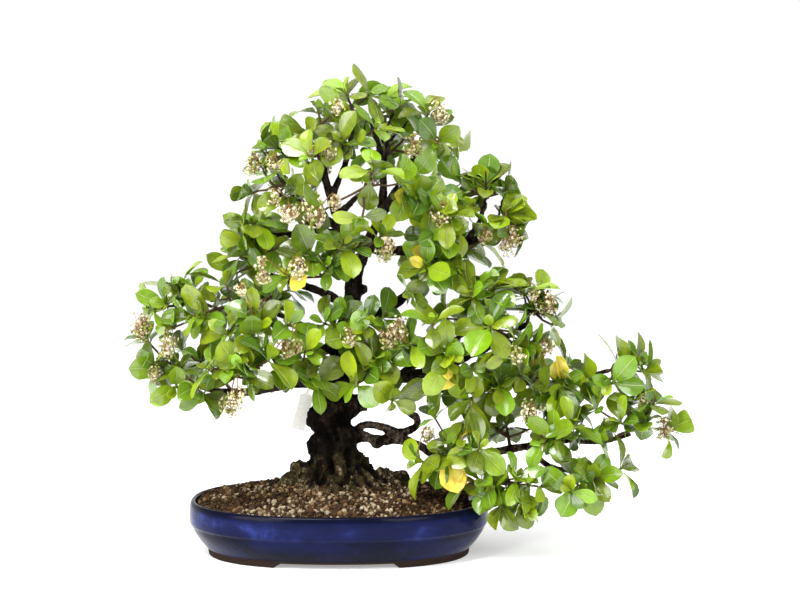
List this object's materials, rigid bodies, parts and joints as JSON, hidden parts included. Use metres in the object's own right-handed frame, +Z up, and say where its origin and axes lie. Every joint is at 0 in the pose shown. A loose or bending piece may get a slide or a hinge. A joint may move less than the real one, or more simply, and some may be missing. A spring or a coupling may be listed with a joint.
{
  "type": "indian hawthorn bonsai",
  "caption": "Indian hawthorn bonsai with a rugged flared trunk, long low limbs, clustered blunt glossy leaves and dry flower heads in a shallow oval blue glazed pot.",
  "frame": {"origin": "on the surface the pot stands on, under the middle of the whole plant's bounding box", "axes": "+Z up, +X along the pot's length towards the long low limb, -Y towards the tree's face"},
  "size_m": [0.707, 0.3054, 0.6111],
  "materials": {
    "glaze": "glossy cobalt blue glaze, mottled, with a bare clay foot",
    "grit": "rough loose grit of baked clay and pumice",
    "bark": "rough dark bark",
    "foliage": "leathery leaves, satin above and paler below",
    "dry_flower": "dry, matt",
    "label_card": "blank, matt",
    "mesh_plastic": "matt dark mesh"
  },
  "bodies": {
    "root": {"trunk": "bark", "pot": "glaze", "soil": "grit", "drain_screen_left": "mesh_plastic", "drain_screen_right": "mesh_plastic", "plant_label": "label_card", "dry_flower_head_upper_left_tip": "dry_flower", "dry_flower_head_upper_right_tip": "dry_flower", "dry_flower_head_left_front_high": "dry_flower", "dry_flower_head_middle_left": "dry_flower", "dry_flower_head_middle_front": "dry_flower", "dry_flower_head_right_tip": "dry_flower", "dry_flower_head_left_front": "dry_flower", "leafy_shoot_crown_top_left": "foliage", "leafy_shoot_crown_top": "foliage", "leafy_shoot_crown_top_right": "foliage", "leafy_shoot_crown_right": "foliage", "leafy_shoot_crown_left": "foliage", "leafy_shoot_crown_front": "foliage", "leafy_shoot_crown_back_left": "foliage", "leafy_shoot_crown_back": "foliage", "leafy_shoot_upper_left_tip": "foliage", "leafy_shoot_upper_left_low": "foliage", "leafy_shoot_upper_left_back": "foliage", "leafy_shoot_upper_front": "foliage", "leafy_shoot_upper_right_front": "foliage", "leafy_shoot_upper_right_high": "foliage", "leafy_shoot_upper_right_tip": "foliage", "leafy_shoot_upper_right_middle": "foliage", "leafy_shoot_upper_back": "foliage", "leafy_shoot_middle_left": "foliage", "leafy_shoot_middle_front": "foliage", "leafy_shoot_middle_right": "foliage", "leafy_shoot_middle_right_back": "foliage", "leafy_shoot_middle_low": "foliage", "leafy_shoot_left_top": "foliage", "leafy_shoot_left_middle": "foliage", "leafy_shoot_left_front_high": "foliage", "leafy_shoot_left_tip": "foliage", "leafy_shoot_left_front": "foliage", "leafy_shoot_left_inner": "foliage", "leafy_shoot_left_back": "foliage", "leafy_shoot_left_back_low": "foliage", "leafy_shoot_right_inner": "foliage", "leafy_shoot_right_front": "foliage", "leafy_shoot_right_high": "foliage", "leafy_shoot_right_tip": "foliage", "leafy_shoot_right_middle": "foliage", "leafy_shoot_right_back": "foliage", "leafy_shoot_low_deck_inner": "foliage", "leafy_shoot_low_deck_outer": "foliage", "leafy_shoot_low_deck_tip": "foliage", "leafy_shoot_low_deck_back": "foliage", "leafy_shoot_low_right_tip": "foliage", "leafy_shoot_low_right_middle": "foliage", "leafy_shoot_low_drop": "foliage", "leafy_shoot_low_front": "foliage", "leafy_shoot_low_front_drop": "foliage", "leafy_shoot_low_front_tip": "foliage", "leafy_shoot_low_back": "foliage"}
  },
  "joints": []
}
